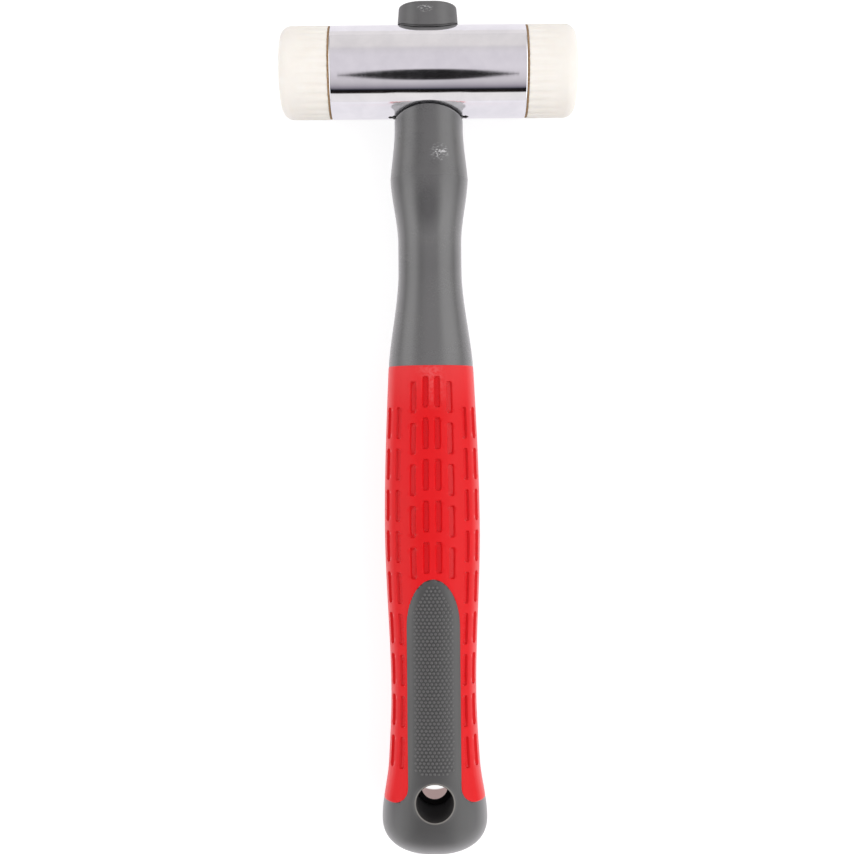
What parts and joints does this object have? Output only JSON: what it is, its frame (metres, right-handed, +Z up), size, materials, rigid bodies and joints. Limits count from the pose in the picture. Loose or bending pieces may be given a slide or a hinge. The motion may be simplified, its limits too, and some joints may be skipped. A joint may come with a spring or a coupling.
{
  "type": "soft face hammer",
  "caption": "Soft face hammer with a plated round head, screw-in nylon faces on fibre washers, and a moulded handle with a slotted soft grip and a lanyard hole.",
  "frame": {"origin": "middle of the footprint of the hammer lying on its side, on the surface that it lies on", "axes": "+X along the head to the right face, +Y along the handle to the head, +Z up"},
  "size_m": [0.1028, 0.2969, 0.032],
  "materials": {
    "plated_steel": "bright plated",
    "nylon": "satin, moulded",
    "fibre": "pressed fibre",
    "fibreglass": "pultruded rod",
    "grey_plastic": "satin, moulded",
    "red_grip": "soft, moulded"
  },
  "bodies": {
    "hammer": {"head_barrel": "plated_steel", "core_rod": "fibreglass", "handle_jacket": "grey_plastic", "grip_sleeve": "red_grip"},
    "left_washer": {"left_washer": "fibre"},
    "left_face": {"left_face": "nylon"},
    "right_washer": {"right_washer": "fibre"},
    "right_face": {"right_face": "nylon"}
  },
  "joints": [
    {"name": "left_washer_slide", "type": "slide", "parent": "hammer", "child": "left_washer", "axis": [-1, 0, 0], "range_m": [0, 0.014]},
    {"name": "left_face_turn", "type": "hinge", "parent": "left_washer", "child": "left_face", "pos_m": [-0.0346, 0.12575, 0.016], "axis": [-1, 0, 0], "range_deg": [0, 2520]},
    {"name": "right_washer_slide", "type": "slide", "parent": "hammer", "child": "right_washer", "axis": [1, 0, 0], "range_m": [0, 0.014]},
    {"name": "right_face_turn", "type": "hinge", "parent": "right_washer", "child": "right_face", "pos_m": [0.0346, 0.12575, 0.016], "axis": [1, 0, 0], "range_deg": [0, 2520]}
  ],
  "couplings": [
    {"joint": "left_washer_slide", "follows": "left_face_turn", "m_per_rad": 0.00031831},
    {"joint": "right_washer_slide", "follows": "right_face_turn", "m_per_rad": 0.00031831}
  ]
}
